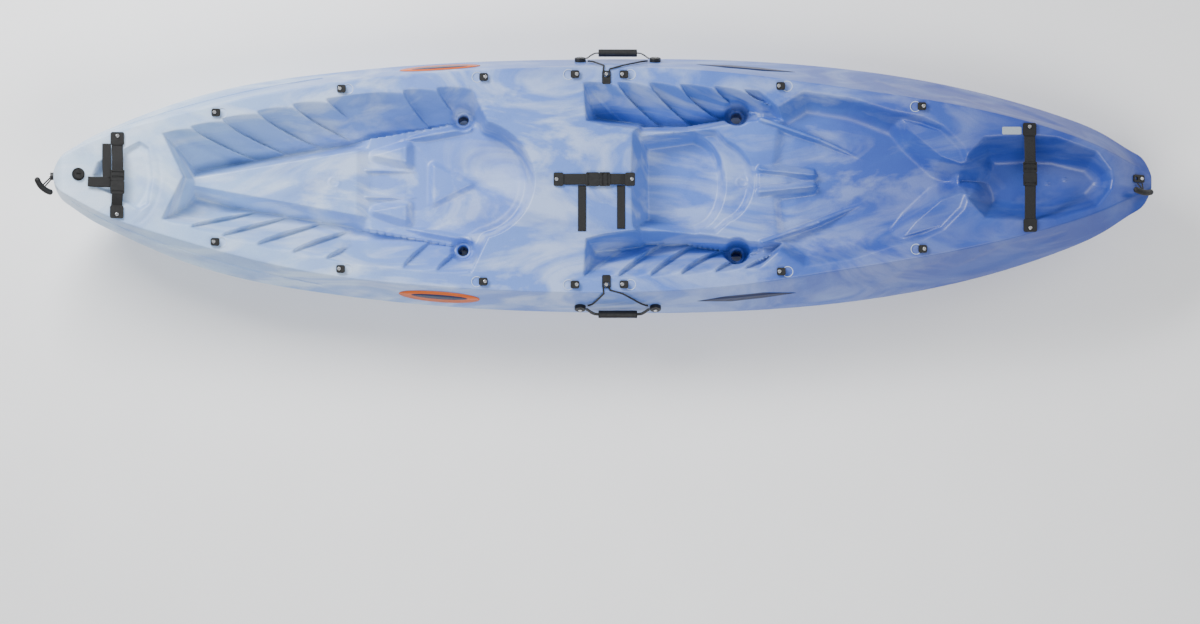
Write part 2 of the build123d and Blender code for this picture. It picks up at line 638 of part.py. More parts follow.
EYE_PAD = deck_plane(along(EYE_PAD_X), EYE_PAD_Y)
pad = soft_block(EYE_PAD, (-24, 20), (-13, 13), (TOUCH, EYE_PAD_HEIGHT), 6)
pad = pad.cut(disc(EYE_PAD, 6, -1, 2 * EYE_PAD_HEIGHT, x=-13))
add("stern_eye_pad", pad.cut(screw_hole(EYE_PAD, EYE_PAD_HEIGHT, 8)))
add("stern_eye_screw", screw(EYE_PAD, EYE_PAD_HEIGHT, 8))
eyes = [EYE_PAD.from_local_coords((x, -17, EYE_PAD_HEIGHT)) for x in (-10, 10)]
foot = EYE_PAD.origin + Vector(41, -45, -6)
toggle("stern", foot, foot + Vector(-54, 0, 62), [tuple(eye) for eye in eyes])
print("stern toggle pivot", eyes)

# ---------------------------------------------------------------- drain plug and label

bush = disc(DRAIN, BUSH_FLANGE / 2, TOUCH, TOUCH + BUSH_LIP)
bush = bush.fuse(disc(DRAIN, BUSH_BORE / 2, -BUSH_DEPTH, TOUCH + BUSH_LIP))
add("drain_bush", bush.cut(disc(DRAIN, PLUG_BORE / 2 + SLOT_PLAY, -2 * BUSH_DEPTH, BUSH_DEPTH)))
seal_top = TOUCH + BUSH_LIP + 2.2
seal = disc(DRAIN, PLUG_HEAD / 2 - 1, TOUCH + BUSH_LIP, seal_top)
add("drain_seal", seal.cut(disc(DRAIN, PLUG_BORE / 2 + SLOT_PLAY, -1, 2 * seal_top)))
head = disc(DRAIN, PLUG_HEAD / 2, seal_top + TOUCH, seal_top + PLUG_HEIGHT)
head = head.cut(block(DRAIN, (-8, 8), (-3, 3), (seal_top + PLUG_HEIGHT / 2, 4 * PLUG_HEIGHT)))
add("drain_plug", head.fuse(disc(DRAIN, PLUG_BORE / 2, -BUSH_DEPTH + 2, seal_top + TOUCH)))
print("plug axis", DRAIN.origin, DRAIN.z_dir)

label_spot = deck_plane(along(1405), on_line(SHEER, along(1405)).Y - 46)
add(
    "blank_label_plate",
    soft_block(
        label_spot, (-LABEL_SIZE[0] / 2, LABEL_SIZE[0] / 2), (-LABEL_SIZE[1] / 2, LABEL_SIZE[1] / 2),
        (TOUCH, TOUCH + LABEL_SIZE[2]), 5,
    ),
)

# ---------------------------------------------------------------- write the parts

add("hull_shell", carve(moulding(), pilots))
os.makedirs("parts", exist_ok=True)
for name, solids in nodes.items():
    export_step(solids[0] if len(solids) == 1 else Compound(solids), f"parts/{name}.step")
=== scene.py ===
import json
from math import atan2, cos, pi, radians, sin

import bmesh
import bpy
import numpy as np
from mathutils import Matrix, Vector


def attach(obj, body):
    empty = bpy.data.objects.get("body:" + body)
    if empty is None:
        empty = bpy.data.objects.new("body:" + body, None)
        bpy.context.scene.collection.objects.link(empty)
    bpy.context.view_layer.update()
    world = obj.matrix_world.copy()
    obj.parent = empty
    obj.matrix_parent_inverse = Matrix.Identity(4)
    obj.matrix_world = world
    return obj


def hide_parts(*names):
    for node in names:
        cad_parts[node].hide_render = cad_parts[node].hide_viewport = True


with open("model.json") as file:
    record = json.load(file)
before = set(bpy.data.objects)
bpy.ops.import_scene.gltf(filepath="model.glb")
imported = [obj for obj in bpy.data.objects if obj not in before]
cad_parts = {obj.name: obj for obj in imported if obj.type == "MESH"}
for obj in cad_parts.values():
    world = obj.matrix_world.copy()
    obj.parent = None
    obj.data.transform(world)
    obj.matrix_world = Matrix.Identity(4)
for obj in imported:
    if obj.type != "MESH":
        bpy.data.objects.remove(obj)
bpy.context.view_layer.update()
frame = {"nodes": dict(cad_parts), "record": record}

MM = 0.001
SIDES = (("port", -1), ("starboard", 1))

# ------------------------------------------------------------ lines of the hull, in mm

# One row a station: x, then half breadth and height of the keel, low and high strakes,
# crease and sheer, as the frame's own hull is drawn.
STATIONS = [
    (-1852, (6, 345), (12, 348), (16, 352), (30, 390), (18, 425)),
    (-1838, (8, 305), (20, 311), (30, 318), (60, 384), (42, 446)),
    (-1805, (10, 254), (30, 268), (50, 285), (94, 374), (70, 461)),
    (-1740, (13, 196), (46, 213), (80, 243), (137, 353), (105, 450)),
    (-1640, (18, 134), (72, 160), (118, 209), (187, 333), (150, 429)),
    (-1480, (36, 76), (128, 118), (178, 172), (256, 299), (200, 404)),
    (-1250, (80, 37), (200, 93), (250, 138), (327, 263), (262, 369)),
    (-950, (130, 13), (265, 67), (315, 107), (379, 227), (325, 340)),
    (-550, (165, 0), (312, 48), (362, 86), (420, 189), (368, 328)),
    (0, (180, 0), (334, 44), (384, 75), (440, 158), (388, 323)),
    (450, (176, 0), (330, 48), (380, 88), (436, 160), (366, 331)),
    (850, (150, 0), (296, 67), (348, 110), (405, 165), (310, 351)),
    (1150, (105, 9), (240, 98), (296, 138), (357, 175), (262, 370)),
    (1400, (62, 28), (176, 130), (236, 163), (295, 191), (208, 375)),
    (1600, (34, 72), (118, 158), (176, 189), (228, 217), (150, 358)),
    (1740, (22, 134), (76, 184), (124, 212), (163, 236), (96, 326)),
    (1830, (16, 185), (46, 208), (78, 229), (106, 245), (52, 287)),
    (1872, (12, 227), (28, 233), (46, 239), (66, 250), (28, 263)),
    (1889, (8, 239), (14, 242), (20, 246), (28, 252), (12, 256)),
]
KEEL, LOW, HIGH, CREASE, SHEER = range(5)
KNOTS = np.array([row[0] for row in STATIONS], float)


def spline(values):
    """A natural cubic spline through one value at each station."""
    y, h = np.array(values, float), np.diff(KNOTS)
    n = len(y)
    a, b = np.eye(n), np.zeros(n)
    for i in range(1, n - 1):
        a[i, i - 1:i + 2] = h[i - 1], 2 * (h[i - 1] + h[i]), h[i]
        b[i] = 6 * ((y[i + 1] - y[i]) / h[i] - (y[i] - y[i - 1]) / h[i - 1])
    m = np.linalg.solve(a, b)

    def at(x):
        x = np.asarray(x, float)
        i = np.clip(np.searchsorted(KNOTS, x) - 1, 0, n - 2)
        s, t = KNOTS[i + 1] - x, x - KNOTS[i]
        return (
            (m[i] * s ** 3 + m[i + 1] * t ** 3) / (6 * h[i])
            + (y[i] / h[i] - m[i] * h[i] / 6) * s + (y[i + 1] / h[i] - m[i + 1] * h[i] / 6) * t
        )

    return at


LINE_Y = [spline([row[1 + k][0] for row in STATIONS]) for k in range(5)]
LINE_Z = [spline([row[1 + k][1] for row in STATIONS]) for k in range(5)]


def deck_level(x):
    """Height of the sheer, which the wells are cut down from."""
    return LINE_Z[SHEER](x)


def smooth(t):
    """0 to 1 along an S curve."""
    t = np.clip(t, 0, 1)
    return t * t * (3 - 2 * t)


def smax(a, b, k):
    """The higher of two heights, blended where they are within k."""
    h = np.clip(0.5 + 0.5 * (a - b) / k, 0, 1)
    return b * (1 - h) + a * h + k * h * (1 - h)


def smin(a, b, k):
    """The lower of two heights, blended in the same way."""
    return -smax(-a, -b, k)


def inside(x, y, polygon):
    """Distance in from the edge of a polygon, negative outside it."""
    best = np.full(x.shape, 1e9)
    odd = np.zeros(x.shape, bool)
    for (ax, ay), (bx, by) in zip(polygon, polygon[1:] + polygon[:1]):
        ex, ey = bx - ax, by - ay
        t = np.clip(((x - ax) * ex + (y - ay) * ey) / (ex * ex + ey * ey), 0, 1)
        best = np.minimum(best, (x - ax - t * ex) ** 2 + (y - ay - t * ey) ** 2)
        cross = (ay > y) != (by > y)
        slope = ex * (y - ay) / (ey if ey else 1e-9) + ax
        odd ^= cross & (x < slope)
    return np.where(odd, 1, -1) * np.sqrt(best)


def well(z, x, y, polygon, floor, lean=0.22, soft=10.0):
    """Cuts a well with leaning walls and soft corners into a height field."""
    depth = inside(x, y, polygon)
    wall = deck_level(x) - (depth + soft * 0.35) / lean
    return smin(z, smax(wall, floor + 0 * x, soft * 2.5), soft)


def ridge(z, x, y, start, end, tops, width, fore=1.0, aft=0.45):
    """A raised fin between two points, steeper on its aft side."""
    (ax, ay), (bx, by) = start, end
    ex, ey = bx - ax, by - ay
    size = (ex * ex + ey * ey) ** 0.5
    t = ((x - ax) * ex + (y - ay) * ey) / size ** 2
    off = ((x - ax) * ey - (y - ay) * ex) / size * (1 if ey > 0 else -1)
    off = np.where(off > 0, off / aft, -off / fore)
    past = np.maximum(np.maximum(-t, t - 1) * size, 0)
    gap = np.sqrt((off / width) ** 2 + (past / width) ** 2)
    top = tops[0] + (tops[1] - tops[0]) * np.clip(t, 0, 1)
    return smax(z, top - 90 * np.maximum(gap - 0.25, 0) ** 1.4, 7)


def bump(z, x, y, px, py, radius, height, soft=4.0):
    """A round disc raised at px, py, or a dimple where height is negative."""
    gap = np.hypot(x - px, y - py)
    return z + height * (1 - smooth((gap - radius) / soft + 0.5))


def both(points):
    """An outline drawn for one side, closed by its mirror image."""
    return points + [(x, -y) for x, y in reversed(points) if y > 0]


def rim(x, edge=52.0):
    """Half breadth of a well's edge at x, a gunwale's width in from the sheer."""
    return float(LINE_Y[SHEER](x)) - edge


def oval(cx, rx, ry, start, end, count):
    """Points on one side of an oval on the middle line, from one angle to another."""
    turns = np.radians(np.linspace(start, end, count))
    return [(cx + rx * float(np.cos(a)), abs(ry * float(np.sin(a)))) for a in turns]


# ------------------------------------------------------------ deck

FRONT = both(
    [(-1411, 0), (-1484, 152)]
    + [(x, rim(x)) for x in (-1380, -1270, -1130, -1000, -850, -700, -560, -440)]
    + oval(-440, 217, 204, 74, 0, 12)
)
FRONT_BACK = both([(-700, 0), (-700, 250), (-520, 262)] + oval(-455, 214, 190, 74, 0, 12))
REAR = both(
    [(128, 0), (128, 176), (20, 190), (-42, 205), (-50, rim(-50))]
    + [(x, rim(x)) for x in (100, 260, 400, 545)] + [(620, 236), (700, 150), (720, 0)]
)
REAR_SEAT = both([(136, 0), (140, 150), (330, 178)] + oval(330, 112, 170, 80, 0, 8))
REAR_BACK = both([(170, 0), (250, 176), (400, 180)] + oval(400, 126, 150, 70, 0, 8))
TRAY = both(
    [(560, 0), (590, 226)] + [(x, rim(x, 40)) for x in (700, 860)]
    + [(999, 224), (1100, 204), (1166, 172), (1234, 104), (1256, 44), (1256, 0)]
)
TANK = both([
    (1200, 0), (1206, 46), (1240, 50), (1316, 132), (1458, 140), (1560, 132), (1693, 88),
    (1738, 30), (1744, 0),
])
SHOULDER = [
    (1040, 196), (1078, 150), (1166, 76), (1232, 52), (1262, 60), (1234, 104), (1166, 160),
]
WEDGE = [(-770, 96), (-662, 126), (-662, 76)]
FAN = both([(-566, 0), (-566, 62), (-442, 0)])
BOW_DIP = both([(-1716, 0), (-1700, 42), (-1560, 118), (-1530, 96), (-1515, 0)])
# Each pair of scuppers: x, distance off the middle, and height of the flat round it.
SCUPPERS = [(-466, 226, 170), (472, 238, 118)]
# Where each foot brace meets the gunwale, then how far aft of that it meets the valley.
FRONT_BRACES, FRONT_RAKE = (-1466, -1384, -1278, -1160, -1040, -925), 215
SEAT_BRACES, SEAT_RAKE = (-800, -663, -548, -435, -330), 90
REAR_BRACES, REAR_RAKE = (-60, -37, 68, 177, 282, 398, 500), 155
# Each pair of eyelets: x, and whether its moulded dimple lies aft (1) or forward of it.
EYELETS = [(-1305, 1), (-879, 1), (-394, -1), (-82, -1), (85, 1), (620, 1), (1100, -1)]
EYELET_INBOARD, DIMPLE_STEP, DIMPLE = 26, 22, 17
# Discs moulded on the middle line: x, radius and height, a dimple inside each.
DISCS = [(-906, 20, 3.5), (-906, 14, -3.5), (489, 20, 3.5), (489, 14, -3.5)]
TANK_STUDS = [(1594, 10), (1533, -3)]


def raised(z, x, y, polygon, level, steep=1.4, soft=6.0):
    """Raises an area to a level, with walls that fall away outside it."""
    return smax(z, level + steep * np.minimum(inside(x, y, polygon), 0), soft)


def braces(x, share, marks, rake):
    """The saw-toothed steps that feet press on: 0 to 1, dropping at each mark."""
    u = x - rake * (1 - share) ** 1.35
    marks = np.array(marks, float)
    k = np.clip(np.searchsorted(marks, u) - 1, 0, len(marks) - 2)
    rise = (u - marks[k]) / (marks[k + 1] - marks[k])
    drop = smooth((marks[k + 1] - u) / 11)
    ends = smooth((u - marks[0]) / 40) * smooth((marks[-1] + 4 - u) / 15)
    return np.clip(rise, 0, 1) ** 1.3 * drop * ends


def side_slope(x, side, edge, valley, tall, marks, rake, curve=1.25):
    """The slope from the gunwale down to the valley beside the tunnel, with its braces."""
    outer = LINE_Y[SHEER](x) - 50
    share = np.clip((side - edge) / (outer - edge), 0, 1)
    slope = valley + (deck_level(x) - valley) * share ** curve
    swell = np.sin(pi * np.clip(share * 0.96 + 0.02, 0, 1)) ** 0.6
    return slope + tall * swell * braces(x, share, marks, rake)


def bow_recess(x, y):
    """The deck with the shallow dip under the bow strap and two arcs pressed in behind it."""
    z = well(deck_level(x), x, y, BOW_DIP, 400.0, 0.5, 5)
    for reach in (84, 128):
        gap = np.hypot(x + 1618, y * 0.72) - reach
        z = z - 2.4 * np.exp(-(gap / 6) ** 2) * smooth((x + 1600) / 40)
    return z


def front_cockpit(z, x, y):
    """Valleys beside a tunnel that ends in the seat."""
    deck, side = deck_level(x), np.abs(y)
    edge = np.interp(x, [-1420, -1386, -813, -432, -380], [44, 50, 152, 222, 226])
    valley = np.interp(x, [-1420, -1250, -830, -560, -430], [196, 142, 142, 168, 171])
    front = side_slope(x, side, edge, valley, 50, FRONT_BRACES, FRONT_RAKE)
    hips = side_slope(x, side, edge, valley, 40, SEAT_BRACES, SEAT_RAKE)
    front = front + (hips - front) * smooth((x + 900) / 60)
    crown = np.interp(x, [-1400, -1000, -830, -760], [262, 244, 232, 186])
    tunnel = crown - 2.8 * np.maximum(side - (edge - 38), 0)
    bolster = (
        216 - 1.6 * np.abs(side - edge + 26)
        - 0.25 * np.maximum(-600 - x, 0) - 2 * np.maximum(x + 440, 0)
    )
    seat = 184 + 7 * ((x + 520) / 170) ** 2 + 5 * (y / 160) ** 2
    inner = tunnel + (smax(np.minimum(seat, 230), tunnel, 6) - tunnel) * smooth((x + 850) / 70)
    inner = inner + (smax(inner, bolster, 8) - inner) * smooth((x + 830) / 60)
    inner = raised(inner, x, side, WEDGE, 226, 1.2)
    inner = raised(inner, x, y, FAN, 204, 0.8)
    posts = (
        224 - 2.2 * np.abs(side - 46) - 0.16 * (x + 800)
        - 4 * np.maximum(x + 628, 0) - 3 * np.maximum(-800 - x, 0)
    )
    inner = smax(inner, posts, 4)
    floor = smax(front, np.where(side < edge, inner, 0), 5)
    wall = deck - (inside(x, y, FRONT) + 3) / 0.24
    z = smin(z, smax(wall, floor, 16), 7)
    back = deck - 26 - (inside(x, y, FRONT_BACK) + 2) / 0.34
    return smin(z, smax(back, floor, 14), 6)


def rear_cockpit(z, x, y):
    """Valleys each side of a shelf that holds the seat."""
    side = np.abs(y)
    edge = np.interp(x, [-50, 300, 480, 560], [196, 202, 232, 240])
    valley = np.interp(x, [-50, 60, 460, 560], [150, 140, 138, 250])
    rear = side_slope(x, side, edge, valley, 52, REAR_BRACES, REAR_RAKE)
    shelf = np.interp(x, [128, 460, 560, 640], [268, 274, 282, 288])
    shelf = shelf - 2.8 * np.maximum(side - (edge - 30), 0)
    floor = smax(rear, np.where(side < edge, shelf, 0), 5)
    wall = deck_level(x) - (inside(x, y, REAR) + 3) / 0.24
    z = smin(z, smax(wall, floor, 16), 7)
    pan = 182 + 6 * ((x - 300) / 150) ** 2 + 6 * (y / 150) ** 2
    z = smin(z, smax(266 - (inside(x, y, REAR_SEAT) + 3) / 0.42, pan, 14), 8)
    return smin(z, smax(280 - (inside(x, y, REAR_BACK) + 3) / 0.5, 240 + 0 * x, 12), 8)


def aft_deck(z, x, y):
    """The tray behind the seat with its fins, and the tank well beyond the neck."""
    side = np.abs(y)
    z = well(z, x, y, TRAY, 276 - 0.035 * np.abs(x - 900), 0.62, 16)
    fins = (((556, 212), (752, 143), (300, 296)), ((752, 143), (908, 74), (296, 272)))
    for start, end, tops in fins:
        z = ridge(z, x, side, start, end, tops, 20, 1.0, 0.6)
    root = 2.5 * np.maximum(545 - x, 0)
    spine = 304 - 1.3 * np.abs(side - 40 + 0.10 * (x - 530)) - 2.0 * np.maximum(x - 735, 0)
    z = smax(z, spine - root, 6)
    tongue = (
        292 - 1.2 * np.maximum(side - 20 + 0.12 * (x - 530), 0)
        - 0.3 * np.maximum(x - 640, 0) - root
    )
    z = smax(z, tongue, 8)
    z = well(z, x, y, TANK, 252 - 0.03 * np.minimum(x - 1250, 300), 0.5, 16)
    return raised(z, x, side, SHOULDER, deck_level(x) - 18, 1.3, 12)


def deck_details(z, x, y):
    """Moulded discs and dimples, and the flat that each scupper drains."""
    side = np.abs(y)
    for px, radius, height in DISCS:
        z = bump(z, x, y, px, 0, radius, height)
    for px, py in TANK_STUDS:
        z = bump(z, x, y, px, py, 7, 3)
    for px, way in EYELETS:
        at = float(LINE_Y[SHEER](px)) - EYELET_INBOARD
        z = bump(z, x, side, px + way * DIMPLE_STEP, at, DIMPLE, -2.4, 5)
    for px, py, level in SCUPPERS:
        near = 1 - smooth((np.hypot(x - px, side - py) - 26) / 22)
        z = z + (level - z) * near
    return z


def deck_height(x, y):
    """Height of the deck at x, y, with all its wells and a sound gunwale round them."""
    z = bow_recess(x, y)
    for cut in (front_cockpit, rear_cockpit, aft_deck, deck_details):
        z = cut(z, x, y)
    deck = deck_level(x)
    lip = smooth((LINE_Y[SHEER](x) - np.abs(y)) / 16)
    return np.minimum(deck, z) * lip + deck * (1 - lip)


def corners(points, cuts, steps=4):
    """A section with each of its corners rounded: points is a list of (y, z) arrays."""
    out = [points[0]]
    for k in range(1, len(points) - 1):
        here = np.stack(points[k])
        before, after = np.stack(points[k - 1]), np.stack(points[k + 1])
        ins, outs = before - here, after - here
        li = np.maximum(np.hypot(*ins), 1e-6)
        lo = np.maximum(np.hypot(*outs), 1e-6)
        cut = np.minimum(np.minimum(li, lo) * 0.42, cuts[k - 1])
        a, b = here + ins / li * cut, here + outs / lo * cut
        for t in np.linspace(0, 1, steps + 1):
            p = (1 - t) ** 2 * a + 2 * t * (1 - t) * here + t * t * b
            out.append((p[0], p[1]))
    return out + [points[-1]]


# Creases pressed into the flanks: outline as x and height, and how deep.
CREASES = [
    ([(-1150, 280), (-1020, 290), (-840, 220), (-910, 180), (-1060, 170)], 5.0),
    ([(-1440, 340), (-1350, 300), (-1330, 240), (-1390, 250)], 4.0),
    ([(-1670, 360), (-1620, 330), (-1640, 300), (-1680, 320)], 3.0),
    ([
        (940, 230), (1040, 300), (1150, 320), (1220, 280), (1380, 350), (1600, 310), (1360, 230),
        (1160, 200),
    ], 5.0),
]
# Share of its breadth that the hull keeps on the outermost rings, which rounds its ends.
TAPER = np.array([0.72, 0.86, 0.94, 0.985, 1.0])
RING_STEP, END_RINGS = 4.5, np.array([0, 1.2, 3, 6, 10])
# How far each corner is cut back, from keel to sheer, and the steps round it.
CORNER_CUTS, CORNER_STEPS = (26, 20, 22, 7, 5), 4
# Which stretch of a half section is the flank, and the rows of faces in each part.
FLANK = CREASE * (CORNER_STEPS + 1) + CORNER_STEPS + 1
STRAKE_ROWS, FLANK_ROWS, DECK_ROWS = 4, 14, 192
SCUPPER_CLEAR = 21.5


def flank_relief(x, share):
    """How far the flank stands in at x, a share of the way from crease to sheer."""
    z = LINE_Z[CREASE](x) + (LINE_Z[SHEER](x) - LINE_Z[CREASE](x)) * share
    press = np.zeros_like(x)
    for outline, depth in CREASES:
        press += depth * smooth(inside(x, z, outline) / 14 + 0.3)
    return press


def hull():
    """The whole moulding's outside as one mesh of rings, with holes left for the scuppers."""
    xs = np.concatenate([
        KNOTS[0] + END_RINGS, np.arange(KNOTS[0] + 15, KNOTS[-1] - 14, RING_STEP),
        KNOTS[-1] - END_RINGS[::-1],
    ])
    squeeze = np.ones_like(xs)
    squeeze[:len(TAPER)], squeeze[-len(TAPER):] = TAPER, TAPER[::-1]
    ys = [line(xs) for line in LINE_Y]
    zs = [line(xs) for line in LINE_Z]
    zs[KEEL] = np.maximum(zs[KEEL], 0.0)
    points = [(0 * xs, zs[KEEL])] + list(zip(ys, zs)) + [(ys[SHEER] * 0.5, zs[SHEER])]
    half = corners(points, CORNER_CUTS, CORNER_STEPS)[:-1]
    rows = []
    for k, ((ay, az), (by, bz)) in enumerate(zip(half, half[1:])):
        between = FLANK_ROWS if k == FLANK else STRAKE_ROWS
        for t in np.linspace(0, 1, between + 1)[:-1]:
            rows.append((ay + (by - ay) * t, az + (bz - az) * t))
    rows.append(half[-1])
    side_y = np.array([row[0] for row in rows])
    side_z = np.array([row[1] for row in rows])
    share = (side_z - zs[CREASE]) / (zs[SHEER] - zs[CREASE])
    on = smooth(share * 6) * smooth((1 - share) * 6)
    grid_x = np.broadcast_to(xs, side_y.shape)
    side_y = side_y - flank_relief(grid_x, share) * on
    middle = (zs[SHEER] + zs[KEEL]) / 2
    side_y = side_y * squeeze
    side_z = middle + (side_z - middle) * (1 - (1 - squeeze) * 0.4)
    edge = side_y[-1]
    across = np.linspace(1, -1, DECK_ROWS + 1)[1:-1]
    deck_y = across[:, None] * edge
    deck_z = deck_height(np.broadcast_to(xs, deck_y.shape), deck_y)
    deck_z = deck_z + (side_z[-1] - LINE_Z[SHEER](xs))
    ring_y = np.concatenate([side_y, deck_y, -side_y[::-1][:-1]])
    ring_z = np.concatenate([side_z, deck_z, side_z[::-1][:-1]])
    count, long = ring_y.shape
    verts = np.stack([np.broadcast_to(xs, ring_y.shape), ring_y, ring_z], -1) * MM
    verts = verts.transpose(1, 0, 2).reshape(-1, 3)
    i, k = np.meshgrid(np.arange(long - 1), np.arange(count), indexing="ij")
    nxt = (k + 1) % count
    faces = np.stack(
        [i * count + k, i * count + nxt, (i + 1) * count + nxt, (i + 1) * count + k], -1
    ).reshape(-1, 4)
    centre = verts[faces].mean(1) / MM
    hole = np.zeros(len(faces), bool)
    for sx, sy, _ in SCUPPERS:
        for way in (-1, 1):
            hole |= np.hypot(centre[:, 0] - sx, centre[:, 1] - way * sy) < SCUPPER_CLEAR
    faces = faces[~hole].tolist()
    faces.append(list(range(count)))
    faces.append([(long - 1) * count + k for k in range(count)][::-1])
    mesh = bpy.data.meshes.new("hull")
    mesh.from_pydata(verts.tolist(), [], faces)
    return finish_mesh(mesh, "kayak_hull")


def finish_mesh(mesh, name):
    """An object from a mesh, with no stray points, faces turned outward and smooth shading."""
    b = bmesh.new()
    b.from_mesh(mesh)
    loose = [v for v in b.verts if not v.link_faces]
    bmesh.ops.delete(b, geom=loose, context="VERTS")
    bmesh.ops.recalc_face_normals(b, faces=b.faces)
    b.to_mesh(mesh)
    b.free()
    mesh.shade_smooth()
    mesh.name = name
    piece = bpy.data.objects.new(name, mesh)
    bpy.context.collection.objects.link(piece)
    return piece


# Rings down a scupper: radius, whether the deck or the bottom is its level, and rise above it.
SCUPPER_RINGS = [
    (31, True, -1.5), (27, True, 1.2), (22, True, 1.0), (19.3, True, -1.5), (18.6, True, -7),
    (18.6, False, 7), (19.3, False, 1.5), (22, False, 0.2), (27, False, 0.2), (31, False, 1.5),
]
LIP_REACH, THROAT = 30, 20


def scupper(name, sx, sy):
    """A drain tube through the hull with a soft lip at each end."""
    turns = np.radians(np.arange(0, 360, 9))
    out = np.abs(sy + LIP_REACH * np.sin(turns))
    share = (out - LINE_Y[KEEL](sx)) / (LINE_Y[LOW](sx) - LINE_Y[KEEL](sx))
    low_z = np.maximum(LINE_Z[KEEL](sx) + (LINE_Z[LOW](sx) - LINE_Z[KEEL](sx)) * share, 0)
    top_z = np.array([
        float(deck_height(
            np.array([sx + LIP_REACH * cos(a)]), np.array([sy + LIP_REACH * sin(a)])
        )[0]) for a in turns
    ])
    rings = []
    for radius, top, drop in SCUPPER_RINGS:
        level = top_z if top else low_z
        base = level if radius > THROAT else level.mean()
        rings.append([
            ((sx + radius * cos(a)) * MM, (sy + radius * sin(a)) * MM, float(z) * MM)
            for a, z in zip(turns, (base + drop) * np.ones(len(turns)))
        ])
    verts = [p for ring in rings for p in ring]
    n = len(turns)
    faces = [
        (r * n + k, r * n + (k + 1) % n, (r + 1) * n + (k + 1) % n, (r + 1) * n + k)
        for r in range(len(rings) - 1) for k in range(n)
    ]
    mesh = bpy.data.meshes.new(name)
    mesh.from_pydata(verts, [], faces)
    return finish_mesh(mesh, name)

# ------------------------------------------------------------ materials


class Nodes:
    """A principled material and short ways to add nodes to it."""

    def __init__(self, name, roughness, metallic=0.0, **inputs):
        self.material = bpy.data.materials.new(name)
        self.material.use_nodes = True
        self.tree = self.material.node_tree
        self.shader = self.tree.nodes["Principled BSDF"]
        self.set(self.shader, Roughness=roughness, Metallic=metallic, **inputs)
        self.place = self.add("ShaderNodeTexCoord").outputs["Object"]

    def feed(self, socket, value):
        if isinstance(value, bpy.types.NodeSocket):
            self.tree.links.new(value, socket)
        else:
            socket.default_value = value

    def set(self, node, **inputs):
        for key, value in inputs.items():
            self.feed(node.inputs[key.replace("_", " ")], value)
        return node

    def add(self, kind, operation=None, **inputs):
        node = self.tree.nodes.new(kind)
        if operation:
            node.operation = operation
        return self.set(node, **inputs)

    def math(self, operation, a, b=0.0):
        node = self.add("ShaderNodeMath", operation)
        for socket, value in zip(node.inputs, (a, b)):
            self.feed(socket, value)
        return node.outputs[0]

    def scaled(self, scale, rotation=(0, 0, 0)):
        node = self.add("ShaderNodeMapping", Vector=self.place, Scale=scale, Rotation=rotation)
        return node.outputs[0]

    def noise(self, scale, detail=4.0, distortion=0.0, vector=None, roughness=0.55):
        node = self.add(
            "ShaderNodeTexNoise", Vector=vector or self.place, Scale=scale, Detail=detail,
            Distortion=distortion, Roughness=roughness,
        )
        return node.outputs["Fac"]

    def ramp(self, value, *stops):
        node = self.add("ShaderNodeValToRGB", Fac=value)
        marks = node.color_ramp.elements
        while len(marks) < len(stops):
            marks.new(0.5)
        for mark, (at, colour) in zip(marks, stops):
            mark.position = at
            mark.color = tuple(colour) + (1,) if len(colour) == 3 else colour
        return node.outputs["Color"]

    def mix(self, share, a, b, blend="MIX"):
        node = self.tree.nodes.new("ShaderNodeMix")
        node.data_type, node.blend_type = "RGBA", blend
        self.feed(node.inputs[0], share)
        for socket, value in ((node.inputs[6], a), (node.inputs[7], b)):
            plain = not isinstance(value, bpy.types.NodeSocket)
            self.feed(socket, tuple(value) + (1,) if plain else value)
        return node.outputs[2]

    def bump(self, height, strength, distance=0.001):
        node = self.add("ShaderNodeBump", Height=height, Strength=strength, Distance=distance)
        return self.set(self.shader, Normal=node.outputs[0])

    def done(self, colour, roughness=None):
        self.set(self.shader, Base_Color=colour)
        if roughness is not None:
            self.set(self.shader, Roughness=roughness)
        return self.material


def grey(value, tint=(1, 1, 1)):
    return tuple(value * t for t in tint)


